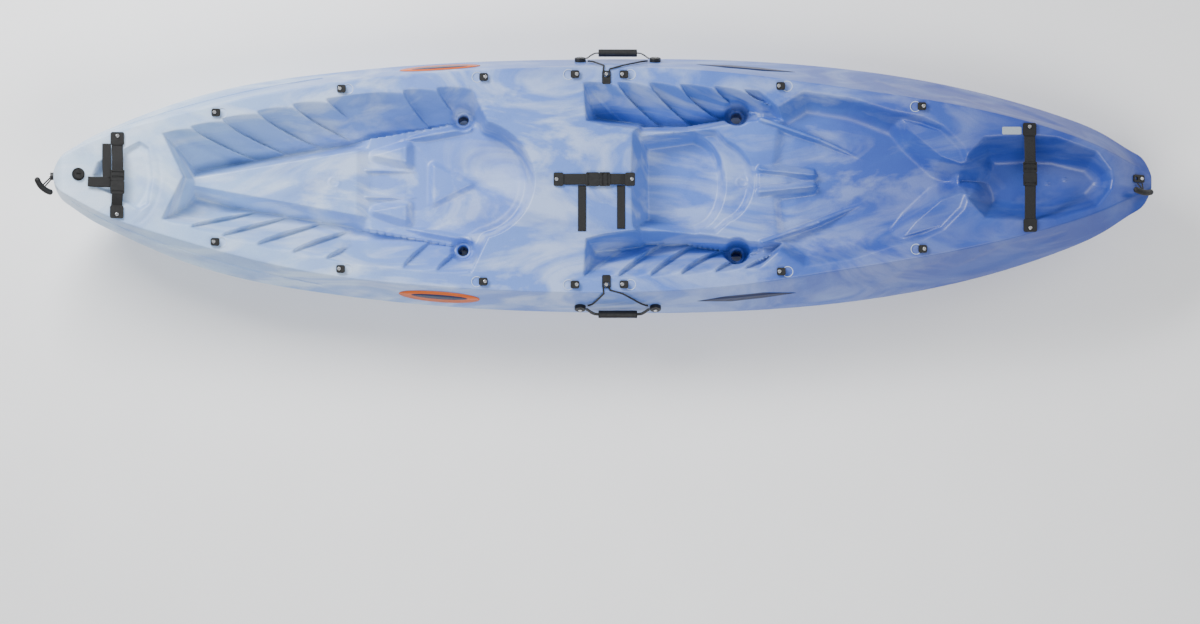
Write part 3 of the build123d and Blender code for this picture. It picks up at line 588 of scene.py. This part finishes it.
def marbled_hull():
    """Polyethylene that runs in clouds from white at the bow to deep blue at the stern."""
    m = Nodes("marbled_polyethylene", 0.42)
    m.shader.inputs["Coat Weight"].default_value = 0.12
    m.shader.inputs["Coat Roughness"].default_value = 0.25
    axis = m.add("ShaderNodeSeparateXYZ", Vector=m.place)
    warp = m.noise(1.3, 5, 1.2)
    fine = m.noise(5.0, 6, 1.6)
    swirl = m.noise(3.0, 5, 2.8, m.scaled((0.55, 1.4, 1.4), (0.2, 0.1, 0.5)))
    at = m.math("ADD", axis.outputs["X"], m.math("MULTIPLY", m.math("SUBTRACT", warp, 0.5), 1.1))
    at = m.math("ADD", at, m.math("MULTIPLY", m.math("SUBTRACT", fine, 0.5), 0.5))
    share = m.math("DIVIDE", m.math("ADD", at, 1.9), 3.8)
    blue = m.ramp(
        share,
        (0.0, (0.56, 0.70, 0.86)), (0.15, (0.34, 0.51, 0.80)), (0.34, (0.15, 0.27, 0.68)),
        (0.60, (0.085, 0.185, 0.60)), (0.74, (0.036, 0.082, 0.40)), (1.0, (0.020, 0.050, 0.31)),
    )
    pale = m.ramp(swirl, (0.44, (0, 0, 0)), (0.62, (1, 1, 1)))
    fade = m.ramp(
        share, (0.0, grey(0.8)), (0.22, grey(0.62)), (0.5, grey(0.40)), (0.72, grey(0.20)),
        (0.9, grey(0.08)),
    )
    amount = m.math("MULTIPLY", pale, fade)
    colour = m.mix(amount, blue, (0.62, 0.74, 0.90))
    patches = m.noise(2.2, 5, 2.0, m.scaled((0.6, 1.3, 1.3), (0, 0.2, -0.4)))
    dark = m.ramp(patches, (0.50, (0, 0, 0)), (0.68, grey(0.42)))
    colour = m.mix(dark, colour, (0.05, 0.12, 0.46))
    specks = m.ramp(m.noise(420, 2), (0.40, grey(0.93)), (0.62, grey(1.04)))
    colour = m.mix(1.0, colour, specks, "MULTIPLY")
    rubbed = m.noise(60, 6, 0.4, m.scaled((0.35, 1, 1)))
    scuff = m.ramp(rubbed, (0.64, grey(0.40)), (0.78, grey(0.55)))
    peel = m.noise(330, 2)
    wave = m.noise(24, 3)
    height = m.math("ADD", m.math("MULTIPLY", peel, 0.5), m.math("MULTIPLY", wave, 0.5))
    m.bump(height, 0.22, 0.0006)
    return m.done(colour, scuff)


def nylon(name, shade=0.004, roughness=0.46, tint=(1, 1, 1.05)):
    """Black moulded plastic with a fine grain."""
    m = Nodes(name, roughness)
    cloud = m.noise(70, 5)
    colour = m.ramp(cloud, (0.3, grey(shade * 0.75, tint)), (0.7, grey(shade * 1.7, tint)))
    m.bump(m.noise(1400, 3), 0.25, 0.0003)
    rough = m.ramp(
        m.noise(160, 4), (0.3, grey(roughness - 0.08)), (0.7, grey(roughness + 0.12)),
    )
    return m.done(colour, rough)


def woven(name, shade=0.004, rib=(1, 0, 0), pitch=0.0016, tint=(1, 1, 1.08)):
    """Webbing: ribs across it, crossed by the warp's fine lines."""
    m = Nodes(name, 0.78, Sheen_Weight=0.08, Sheen_Roughness=0.5)
    spots = m.add("ShaderNodeSeparateXYZ", Vector=m.place)
    axis = rib.index(1)
    along, over = spots.outputs["XYZ"[axis]], spots.outputs["XYZ"[(axis + 1) % 2]]
    turn = 2 * pi / pitch
    first = m.math("SINE", m.math("MULTIPLY", along, turn))
    second = m.math("SINE", m.math("MULTIPLY", over, turn * 0.8))
    weave = m.math("MULTIPLY", first, second)
    mixed = m.math("ADD", m.math("MULTIPLY", weave, 0.5), m.noise(900, 3))
    colour = m.ramp(mixed, (0.15, grey(shade * 0.5, tint)), (0.9, grey(shade * 2.4, tint)))
    m.bump(mixed, 0.6, 0.0006)
    return m.done(colour)


def braid(name, shade=0.010):
    """The braided sheath of a cord."""
    m = Nodes(name, 0.7, Sheen_Weight=0.08)
    cell = m.add("ShaderNodeTexVoronoi", Vector=m.scaled((1, 1, 1), (0.6, 0.5, 0.8)), Scale=620.0)
    colour = m.ramp(cell.outputs["Distance"], (0.1, grey(shade * 2.0)), (0.7, grey(shade * 0.5)))
    m.bump(cell.outputs["Distance"], 0.5, 0.0005)
    return m.done(colour)


def steel():
    """Drawn stainless steel, for the screws."""
    m = Nodes("stainless_steel", 0.26, 1.0)
    lines = m.noise(900, 3, 0.0, m.scaled((0.2, 1, 1)))
    colour = m.ramp(lines, (0.3, (0.55, 0.56, 0.58)), (0.7, (0.80, 0.80, 0.81)))
    m.bump(lines, 0.12, 0.0002)
    return m.done(colour, m.ramp(m.noise(220, 4), (0.3, grey(0.2)), (0.7, grey(0.4))))


def printed(name, colour, edge):
    """Print, a plate or a ring's painted highlight, in a colour that drifts a little towards edge.
    """
    m = Nodes(name, 0.35)
    grain = m.noise(260, 4)
    rough = m.ramp(grain, (0.3, grey(0.3)), (0.7, grey(0.45)))
    return m.done(m.ramp(grain, (0.3, edge), (0.7, colour)), rough)


def studio_floor():
    m = Nodes("studio_floor", 0.9)
    return m.done(m.ramp(m.noise(3, 3), (0.3, grey(0.93)), (0.7, grey(0.95))))


HULL = marbled_hull()
NYLON = nylon("black_nylon")
RUBBER = nylon("matt_rubber", 0.004, 0.6)
STEEL = steel()
WEB_ALONG = woven("webbing_fore_aft", rib=(1, 0, 0))
WEB_ACROSS = woven("webbing_athwart", rib=(0, 1, 0))
CORD = braid("braided_cord")
LABEL = printed("blank_plate", (0.36, 0.42, 0.46), (0.29, 0.34, 0.40))
# pale blue painted highlight for the eyelet rings, standing in for the light a ring catches on the
# deck
RING_HIGHLIGHT = printed("painted_highlight_ring", (0.62, 0.72, 0.86), (0.50, 0.62, 0.80))
ORANGE = printed("orange_mark", (0.68, 0.13, 0.015), (0.60, 0.10, 0.01))
NAVY = printed("navy_mark", (0.012, 0.022, 0.085), (0.010, 0.018, 0.070))
FINISH = {
    "hull_plastic": HULL, "black_nylon": NYLON, "webbing": WEB_ACROSS, "grip": RUBBER,
    "shock_cord": CORD, "toggle_cord": CORD, "seal_rubber": RUBBER, "label": LABEL, "steel": STEEL,
}

for part in frame["record"]["subparts"]:
    thing = frame["nodes"][part["node"]]
    for spot in thing.material_slots:
        spot.material = FINISH[part["material_slot"]]

# ------------------------------------------------------------ pieces


def dress(piece, material, body="hull", stands_for=()):
    """Gives a piece its material and its body, and hides the CAD nodes it stands for."""
    piece.data.materials.clear()
    piece.data.materials.append(material)
    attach(piece, body)
    if stands_for:
        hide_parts(*stands_for)
    return piece


dress(hull(), HULL, stands_for=("hull_shell",))
for spot, (sx, sy, _) in enumerate(SCUPPERS):
    for side_name, way in SIDES:
        tube = scupper(f"scupper_{side_name}_{spot}", sx, sy)
        if way < 0:
            for v in tube.data.vertices:
                v.co.y = -v.co.y
            tube.data.flip_normals()
        dress(tube, HULL)


def line_point(index, x, side=1):
    """The point of one of the hull's lines at x."""
    return Vector((x, side * float(LINE_Y[index](x)), float(LINE_Z[index](x))))


def deck_axes(x, y):
    """Origin on the deck, then unit vectors aft along it and up from it."""
    fore, aft = line_point(SHEER, x - 5), line_point(SHEER, x + 5)
    slope = atan2(aft.z - fore.z, aft.x - fore.x)
    return (
        Vector((x, y, float(LINE_Z[SHEER](x)))), Vector((cos(slope), 0, sin(slope))),
        Vector((-sin(slope), 0, cos(slope))),
    )


def through(points, per=8):
    """Points along a smooth curve through some points."""
    pts = [Vector(p) for p in points]
    ends = [pts[0] * 2 - pts[1]] + pts + [pts[-1] * 2 - pts[-2]]
    out = []
    for a, b, c, d in zip(ends, ends[1:], ends[2:], ends[3:]):
        for i in range(per):
            t = i / per
            out.append(0.5 * (
                2 * b + (c - a) * t + (2 * a - 5 * b + 4 * c - d) * t * t
                + (3 * b - a - 3 * c + d) * t ** 3
            ))
    return out + [pts[-1]]


def ribbon(name, points, across, width, thick=2.2, per=8, widths=None, rows=10):
    """Webbing along points in mm, its width along across, with thick rounded selvedges."""
    path = through(points, per)
    across = Vector(across).normalized()
    profile = []
    for k in range(rows + 1):
        t = 2 * k / rows - 1
        profile.append((t, thick / 2 * (1.0 if abs(t) < 0.9 else 0.55)))
    outline = profile + [(t, -high) for t, high in reversed(profile)]
    verts, faces, n, last = [], [], len(outline), len(path) - 1
    for i, here in enumerate(path):
        run = (path[min(i + 1, last)] - path[max(i - 1, 0)]).normalized()
        side = (across - run * across.dot(run)).normalized()
        up = run.cross(side)
        half = width / 2
        if widths:
            at = i / last * (len(widths) - 1)
            low = min(int(at), len(widths) - 2)
            half = (widths[low] + (widths[low + 1] - widths[low]) * (at - low)) / 2
        ripple = 0.12 * sin(i * 1.7)
        for t, high in outline:
            verts.append((here + side * half * t + up * (high + ripple * t)) * MM)
    for i in range(last):
        for k in range(n):
            a, b = i * n + k, i * n + (k + 1) % n
            faces.append((a, b, b + n, a + n))
    faces.append(tuple(range(n))[::-1])
    faces.append(tuple(last * n + k for k in range(n)))
    mesh = bpy.data.meshes.new(name)
    mesh.from_pydata([tuple(v) for v in verts], [], faces)
    return finish_mesh(mesh, name)


def cord(name, points, bore, order=3):
    """A round cord on a smooth spline whose control points are given in mm."""
    data = bpy.data.curves.new(name, "CURVE")
    data.dimensions = "3D"
    data.bevel_depth, data.bevel_resolution, data.resolution_u = bore / 2 * MM, 5, 16
    data.use_fill_caps = True
    line = data.splines.new("NURBS")
    line.points.add(len(points) - 1)
    for spot, p in zip(line.points, points):
        spot.co = (*(Vector(p) * MM), 1)
    line.order_u, line.use_endpoint_u = order, True
    piece = bpy.data.objects.new(name, data)
    bpy.context.collection.objects.link(piece)
    return piece


# ------------------------------------------------------------ straps

# The webbing's width, its height in a buckle and in a pad, how far short of the buckle's joint
# it stops, how far it reaches into a pad, the buckle's halves and the moving one's travel.
WEB_WIDTH, BUCKLE_WEB, PAD_WEB, WEB_STOP, PAD_SLOT = 38, 8.7, 4, 12, 14
FEMALE, MALE, TRAVEL = 44, 38, 28
STRAP_INBOARD = 26


def strap(name, origin, x_dir, z_dir, pads, pad_length, joint, base, material):
    """Two runs of webbing along x_dir, from a pad each up to the buckle at joint."""
    web = base + BUCKLE_WEB
    across = x_dir.cross(z_dir)
    for tag, pad, way, clear, start in (
        ("low", pads[0], 1, -FEMALE - 3, -WEB_STOP - 1),
        ("high", pads[1], -1, MALE + TRAVEL + 3, 8),
    ):
        mouth = pad + way * pad_length / 2
        rise = joint + clear
        flat = [
            (mouth - way * (PAD_SLOT - 1), PAD_WEB), (mouth, PAD_WEB),
            (mouth + way * 2, PAD_WEB + 0.2),
            (mouth + (rise - mouth) * 0.5, PAD_WEB + (web - PAD_WEB) * 0.52), (rise, web),
            ((rise + joint + start) / 2, web), (joint + start, web),
        ]
        pts = [origin + x_dir * a + z_dir * b for a, b in flat]
        piece = ribbon(f"{name}_webbing_{tag}", pts, across, WEB_WIDTH)
        dress(piece, material, stands_for=(f"{name}_webbing",))


def deck_strap(name, x, joint, base):
    """A strap straight across the deck at x, between pads inside the gunwales."""
    origin, _, up = deck_axes(x, 0)
    pad = float(LINE_Y[SHEER](x)) - STRAP_INBOARD
    strap(name, origin, Vector((0, 1, 0)), up, (-pad, pad), 44, joint, base, WEB_ACROSS)
    return origin, up


BOW_X, STERN_X, CENTRE_X = -1636, 1465, -20
bow_at, bow_up = deck_strap("bow_strap", BOW_X, -22, 14)
deck_strap("stern_strap", STERN_X, 14, 6)
mid_at, mid_run, mid_up = deck_axes(CENTRE_X, 0)
strap("centre_strap", mid_at, mid_run, mid_up, (-118, 126), 34, 20, 0.3, WEB_ALONG)
ACROSS = Vector((0, 1, 0))


def bow_place(side, fore, high):
    """A point beside the bow strap's middle, in mm across, along and up from the deck."""
    return bow_at + ACROSS * side + bow_up.cross(ACROSS) * fore + bow_up * high


layer = ribbon(
    "bow_strap_second_layer",
    [
        bow_place(106, 37, 13.0), bow_place(60, 37, 13.6), bow_place(20, 36, 13.2),
        bow_place(-12, 34, 12.8),
    ],
    (1, 0, 0), 30,
)
dress(layer, WEB_ACROSS, stands_for=("bow_strap_tail",))
tail = ribbon(
    "bow_strap_free_tail",
    [
        bow_place(-20, -6, 12.6), bow_place(-24, 22, 12.8), bow_place(-26, 62, 13.6),
        bow_place(-25, 100, 12.4),
    ],
    (0, 1, 0), 36, widths=[26, 38, 36, 34],
)
dress(tail, WEB_ALONG, stands_for=("bow_strap_tail",))
# Each tail of the centre strap: x from its middle, and how far to port it reaches.
CENTRE_TAILS, TAIL_WIDTH = ((-38, 178), (95, 170)), 28
for spot, (x, reach) in enumerate(CENTRE_TAILS):
    pts = [
        mid_at + mid_run * x + Vector((0, -y, 0)) + mid_up * high
        for y, high in ((21, 2.0), (70, 2.0), (reach * 0.7, 2.4), (reach, 2.0))
    ]
    piece = ribbon(f"centre_strap_tail_{spot}", pts, (1, 0, 0), TAIL_WIDTH)
    dress(piece, WEB_ACROSS, stands_for=("centre_strap_tails",))

# ------------------------------------------------------------ moulded lines

SEAM_BORE, BEAD, RING = 4.2, 1.1, DIMPLE + 0.5


def seam(name, marks, side, bore):
    """The raised parting line along a flank; marks are x and the share up the flank."""
    pts = []
    for x, share in marks:
        low, high = line_point(CREASE, x, side), line_point(SHEER, x, side)
        pts.append(low + (high - low) * share + Vector((0, side * 0.6, 0)))
    return dress(cord(name, pts, bore), HULL)


for side_name, side in SIDES:
    marks = [(x, 0.62 - 0.0002 * (x + 1790)) for x in range(-1790, -880, 65)]
    seam(f"{side_name}_bow_seam", marks, side, SEAM_BORE)
    # the moulded ring round the dimple beside each eyelet, coloured pale as painted highlight
    rings = bmesh.new()
    for px, way in EYELETS:
        at, run, up = deck_axes(px, side * (float(LINE_Y[SHEER](px)) - EYELET_INBOARD))
        middle = at + run * way * DIMPLE_STEP
        turns = [
            [
                rings.verts.new((
                    middle + (run * cos(a) + ACROSS * sin(a)) * (RING + BEAD * cos(c))
                    + up * (0.2 + BEAD * sin(c))
                ) * MM)
                for c in np.linspace(0, 2 * pi, 9)[:-1]
            ]
            for a in np.linspace(0, 2 * pi, 41)[:-1]
        ]
        for here, after in zip(turns, turns[1:] + turns[:1]):
            for i in range(len(here)):
                j = (i + 1) % len(here)
                rings.faces.new((here[i], after[i], after[j], here[j]))
    mesh = bpy.data.meshes.new("rings")
    rings.to_mesh(mesh)
    rings.free()
    dress(finish_mesh(mesh, f"{side_name}_eyelet_rings"), RING_HIGHLIGHT)

# ------------------------------------------------------------ side handles, paddle holders

# The handle: its x, how far up the flank it is, its bosses and grip, the height of its webbing
# in a boss and in the grip, and the webbing's width along it.
HANDLE_X, SHARE, PITCH, BOSS, GRIP = 64, 0.325, 257, 39, 133
LIFT, GRIP_LIFT = 12, 30
BAND_WIDTHS = [20, 24, 26, 20, 19, 20, 26, 24, 20]
# The shock cord: where the tab is and the cord stops short of it, then how far in from the end
# of the handle's webbing, off the flank and up the flank the cord starts, and where it leaves.
TAB_X, CORD_BORE, STOP, CORD_SLACK = 25, 6, 8, 0.5
CORD_IN, CORD_OFF, CORD_UP, LEAVE_IN, LEAVE_UP = 5.5, 5.5, 17, 20, 20
# Each cord of a side: its name, which way along the boat, and where it turns over the gunwale.
CORD_RUNS = (("fore", -1, -8), ("aft", 1, 55))
EYE_START, EYE_END, EYE_SPREAD = 3.3, 6.2, 10.5


def flank_axes(x, side):
    """The handle line's point at x on a flank, and the way out of the flank there."""
    def place(at):
        low, high = line_point(CREASE, at, side), line_point(SHEER, at, side)
        return low + (high - low) * SHARE

    rise = line_point(SHEER, x, side) - line_point(CREASE, x, side)
    run = (place(x + 5) - place(x - 5)).normalized()
    return place(x), (run.cross(rise) * -side).normalized()


for side_name, side in SIDES:
    ends = [flank_axes(HANDLE_X + way * PITCH / 2, side) for way in (-1, 1)]
    run = (ends[1][0] - ends[0][0]).normalized()
    middle = (ends[0][0] + ends[1][0]) / 2
    lean = ends[0][1] + ends[1][1]
    lean = (lean - run * lean.dot(run)).normalized()
    side_way = lean.cross(run)
    end, knee = PITCH / 2 - BOSS / 2 - 0.5, GRIP / 2 + 2
    rise = [
        (end, LIFT), (end - 6, LIFT + 2), ((end + knee) / 2, (LIFT + GRIP_LIFT) / 2 + 3),
        (knee, GRIP_LIFT),
    ]
    path = [(-x, z) for x, z in rise] + [(0, GRIP_LIFT)] + rise[::-1]
    band = ribbon(
        f"{side_name}_handle_band", [middle + run * x + lean * z for x, z in path], side_way,
        BAND_WIDTHS[0], widths=BAND_WIDTHS,
    )
    dress(band, WEB_ALONG, f"{side_name}_handle", (f"{side_name}_handle_webbing",))
    edge = line_point(SHEER, TAB_X, side)
    ride = edge.z + CORD_BORE / 2 + CORD_SLACK
    upward = 1 if side_way.z > 0 else -1
    for tag, way, corner in CORD_RUNS:
        low = middle + run * way * (end - CORD_IN) + lean * CORD_OFF + side_way * CORD_UP * upward
        leave = (
            middle + run * way * (end - LEAVE_IN) + lean * CORD_OFF + side_way * LEAVE_UP * upward
        )
        over = Vector((TAB_X + corner, edge.y + side * (CORD_BORE / 2 + 1.5), ride))
        stop = Vector((TAB_X + way * EYE_SPREAD, edge.y - side * STOP, ride))
        half_way = (leave + over) / 2
        piece = cord(
            f"{side_name}_shock_cord_{tag}",
            [low, leave, half_way, over + (half_way - over) * 0.06, over, stop], CORD_BORE,
        )
        dress(piece, CORD, stands_for=(f"{side_name}_bungee_cord",))
        tip = stop - Vector((0, side * EYE_END, 0))
        eye = cord(
            f"{side_name}_tab_eye_{tag}",
            [stop - Vector((0, side * EYE_START, 0)), (stop + tip) / 2, tip], CORD_BORE,
        )
        dress(eye, CORD, f"{side_name}_tab", (f"{side_name}_bungee_loop",))

# ------------------------------------------------------------ toggle cords

TOGGLE_BEND, TOGGLE_CORD, SAG = 7, 5, 1.2


def toggle_cords(name, low, high, eyes):
    """Two cords from their eyes to the middle of a bent grip between low and high."""
    low, high = Vector(low), Vector(high)
    eyes = [Vector(eye) for eye in eyes]
    run = (high - low).normalized()
    away = (low + high) / 2 - (eyes[0] + eyes[1]) / 2
    away = (away - run * away.dot(run)).normalized()
    seat = (low + high) / 2 + away * TOGGLE_BEND
    for spot, (eye, way) in enumerate(zip(eyes, (-1, 1))):
        end = seat + run * way * TOGGLE_CORD
        sag = Vector((0, 0, -SAG))
        points = [eye, eye.lerp(end, 0.5) + sag, end]
        piece = cord(f"{name}_toggle_line_{spot}", points, TOGGLE_CORD)
        dress(piece, CORD, f"{name}_toggle", (f"{name}_toggle_cord",))


# The bow's cords hang from the underside of the knob on the stem, the stern's from a pad.
KNOB_Z, KNOB_RADIUS = 402, 13
HANG = KNOB_Z - KNOB_RADIUS
STERN_EYES_X, STERN_EYES_Y = 1843, 8
toggle_cords(
    "bow", (KNOTS[0] - 56, -12, HANG + 9), (KNOTS[0] - 16, -48, HANG - 31),
    [(KNOTS[0] - 7, y, HANG - 3) for y in (4, -4)],
)
eye_at, eye_run, eye_up = deck_axes(STERN_EYES_X, STERN_EYES_Y)
foot = eye_at + Vector((41, -45, -6))
toggle_cords(
    "stern", foot, foot + Vector((-54, 0, 62)),
    [eye_at + eye_run * x + Vector((0, -17, 0)) + eye_up * 7 for x in (-10, 10)],
)

# ------------------------------------------------------------ generic marks on the flanks

MARK_THICK = 0.6


def mark(name, outline, material, proud):
    """A thin printed patch that follows the flank; outline is x along, share of the flank."""
    for side_name, side in SIDES:
        b = bmesh.new()
        ring = []
        for x, share in outline:
            low, high = line_point(CREASE, x, side), line_point(SHEER, x, side)
            out_way = Vector((0, side * 0.95, 0.3)).normalized()
            ring.append(b.verts.new((low + (high - low) * share + out_way * proud) * MM))
        b.faces.new(ring)
        bmesh.ops.triangulate(b, faces=b.faces)
        mesh = bpy.data.meshes.new(name)
        b.to_mesh(mesh)
        b.free()
        piece = finish_mesh(mesh, f"{name}_{side_name}")
        hold = piece.modifiers.new("thick", "SOLIDIFY")
        hold.thickness, hold.offset = MARK_THICK * MM, 1
        dress(piece, material)


def ellipse(cx, cs, rx, rs, count=40):
    """An oval as x and share of the flank."""
    turns = [2 * pi * i / count for i in range(count)]
    return [(cx + rx * cos(a), cs + rs * sin(a)) for a in turns]


mark("flank_oval", ellipse(-545, 0.50, 138, 0.27), ORANGE, 0.8)
mark("flank_oval_bar", ellipse(-545, 0.50, 96, 0.11), NAVY, 1.3)
WING = [(335, 0.50), (430, 0.62), (560, 0.63), (672, 0.50), (560, 0.45), (450, 0.42)]
mark("flank_wing", WING, NAVY, 0.8)

# ------------------------------------------------------------ floor, light and camera

FLOOR = 30
floor_mesh = bpy.data.meshes.new("floor")
floor_mesh.from_pydata(
    [(-FLOOR, -FLOOR, 0), (FLOOR, -FLOOR, 0), (FLOOR, FLOOR, 0), (-FLOOR, FLOOR, 0)], [],
    [(0, 1, 2, 3)],
)
floor = bpy.data.objects.new("floor", floor_mesh)
floor_mesh.materials.append(studio_floor())
bpy.context.collection.objects.link(floor)

world = bpy.data.worlds.new("studio")
bpy.context.scene.world = world
world.use_nodes = True
sky = world.node_tree.nodes["Background"]
sky.inputs["Color"].default_value = (0.93, 0.96, 1.0, 1)
sky.inputs["Strength"].default_value = 0.42


def area(name, at, target, size, power):
    """A rectangular lamp turned to a target."""
    data = bpy.data.lights.new(name, "AREA")
    data.shape, data.size, data.size_y, data.energy = "RECTANGLE", size[0], size[1], power
    lamp = bpy.data.objects.new(name, data)
    lamp.location = at
    lamp.rotation_euler = (Vector(target) - Vector(at)).to_track_quat("-Z", "Y").to_euler()
    bpy.context.collection.objects.link(lamp)


area("key", (-2.6, 2.4, 3.4), (-0.1, -0.2, 0.2), (3.2, 1.2), 330)
area("fill", (0.6, -2.8, 4.6), (0.2, -1.0, 0.0), (4.5, 2.2), 190)
area("rim", (4.2, 1.4, 2.2), (1.0, 0, 0.3), (1.6, 1.6), 40)

# The camera looks nearly straight down through a long lens, and takes in 4.08 m at the height
# of the gunwales. It is aimed beside the boat, which leaves the lower half of the frame empty.
VIEW_WIDTH, HEIGHT, TILT, LENS, SENSOR = 4.08, 0.33, radians(83.5), 200, 36
MIDDLE = Vector((0.0033, -0.4556, HEIGHT))
camera_data = bpy.data.cameras.new("camera")
camera_data.lens, camera_data.sensor_width = LENS, SENSOR
camera_data.clip_end = 100  # beyond the floor, in metres
camera = bpy.data.objects.new("camera", camera_data)
reach = VIEW_WIDTH / SENSOR * LENS
camera.location = MIDDLE + Vector((0, -cos(TILT), sin(TILT))) * reach
camera.rotation_euler = (MIDDLE - camera.location).to_track_quat("-Z", "Y").to_euler()
bpy.context.collection.objects.link(camera)
bpy.context.scene.camera = camera
